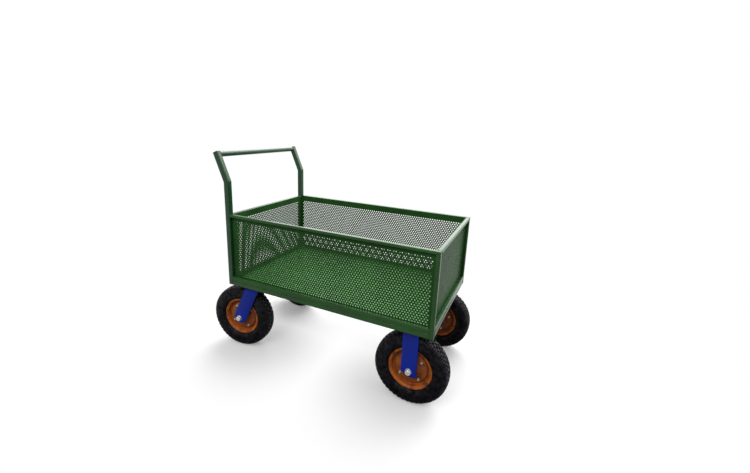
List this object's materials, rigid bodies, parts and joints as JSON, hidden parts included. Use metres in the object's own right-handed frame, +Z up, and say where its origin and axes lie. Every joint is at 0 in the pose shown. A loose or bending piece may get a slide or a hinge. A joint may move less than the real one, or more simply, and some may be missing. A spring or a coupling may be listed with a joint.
{
  "type": "hand cart",
  "caption": "Push cart with an open-topped perforated steel basket on a tube frame, a leaning push handle, rigid front wheels and swivelling rear wheels with air tyres.",
  "frame": {"origin": "on the ground, in the middle of the overall length and width", "axes": "+X forward, from the handle to the rigid wheels; +Y to the left; +Z up"},
  "size_m": [1.4297, 0.708, 1.1618],
  "materials": {
    "green_paint": "gloss",
    "blue_paint": "gloss",
    "rim_paint": "satin",
    "zinc": "zinc plated",
    "tyre": "matt"
  },
  "bodies": {
    "cart": {"chassis_rail_right": "green_paint", "chassis_rail_left": "green_paint", "chassis_rail_front": "green_paint", "chassis_rail_rear": "green_paint", "base_rail_right": "green_paint", "base_rail_left": "green_paint", "base_rail_front": "green_paint", "base_rail_rear": "green_paint", "rim_rail_right": "green_paint", "rim_rail_left": "green_paint", "rim_rail_front": "green_paint", "rim_rail_rear": "green_paint", "cross_tube_front_outer": "green_paint", "cross_tube_front_inner": "green_paint", "cross_tube_middle": "green_paint", "cross_tube_rear_inner": "green_paint", "cross_tube_rear_outer": "green_paint", "front_post_right": "green_paint", "handle_post_right": "green_paint", "front_post_left": "green_paint", "handle_post_left": "green_paint", "handle_crossbar": "green_paint", "floor_sheet": "green_paint", "side_panel_right": "green_paint", "side_panel_left": "green_paint", "end_panel_front": "green_paint", "end_panel_rear": "green_paint", "rigid_bracket_right": "blue_paint", "axle_front_right": "zinc", "swivel_plate_right": "blue_paint", "kingpin_right": "zinc", "rigid_bracket_left": "blue_paint", "axle_front_left": "zinc", "swivel_plate_left": "blue_paint", "kingpin_left": "zinc"},
    "fork_right": {"swivel_fork_right": "blue_paint", "axle_rear_right": "zinc"},
    "fork_left": {"swivel_fork_left": "blue_paint", "axle_rear_left": "zinc"},
    "wheel_front_right": {"tyre_front_right": "tyre", "rim_outer_front_right": "rim_paint", "rim_inner_front_right": "rim_paint", "hub_front_right": "zinc"},
    "wheel_front_left": {"tyre_front_left": "tyre", "rim_outer_front_left": "rim_paint", "rim_inner_front_left": "rim_paint", "hub_front_left": "zinc"},
    "wheel_rear_right": {"tyre_rear_right": "tyre", "rim_outer_rear_right": "rim_paint", "rim_inner_rear_right": "rim_paint", "hub_rear_right": "zinc"},
    "wheel_rear_left": {"tyre_rear_left": "tyre", "rim_outer_rear_left": "rim_paint", "rim_inner_rear_left": "rim_paint", "hub_rear_left": "zinc"}
  },
  "joints": [
    {"name": "swivel_right", "type": "hinge", "parent": "cart", "child": "fork_right", "pos_m": [-0.44662, -0.268, 0.394], "axis": [0, 0, 1], "continuous": true},
    {"name": "swivel_left", "type": "hinge", "parent": "cart", "child": "fork_left", "pos_m": [-0.44662, 0.268, 0.394], "axis": [0, 0, 1], "continuous": true},
    {"name": "spin_front_right", "type": "hinge", "parent": "cart", "child": "wheel_front_right", "pos_m": [0.52838, -0.268, 0.1865], "axis": [0, 1, 0], "continuous": true},
    {"name": "spin_front_left", "type": "hinge", "parent": "cart", "child": "wheel_front_left", "pos_m": [0.52838, 0.268, 0.1865], "axis": [0, 1, 0], "continuous": true},
    {"name": "spin_rear_right", "type": "hinge", "parent": "fork_right", "child": "wheel_rear_right", "pos_m": [-0.5259, -0.27872, 0.1865], "axis": [-0.134, 0.991, 0], "continuous": true},
    {"name": "spin_rear_left", "type": "hinge", "parent": "fork_left", "child": "wheel_rear_left", "pos_m": [-0.5259, 0.27872, 0.1865], "axis": [0.134, 0.991, 0], "continuous": true}
  ]
}
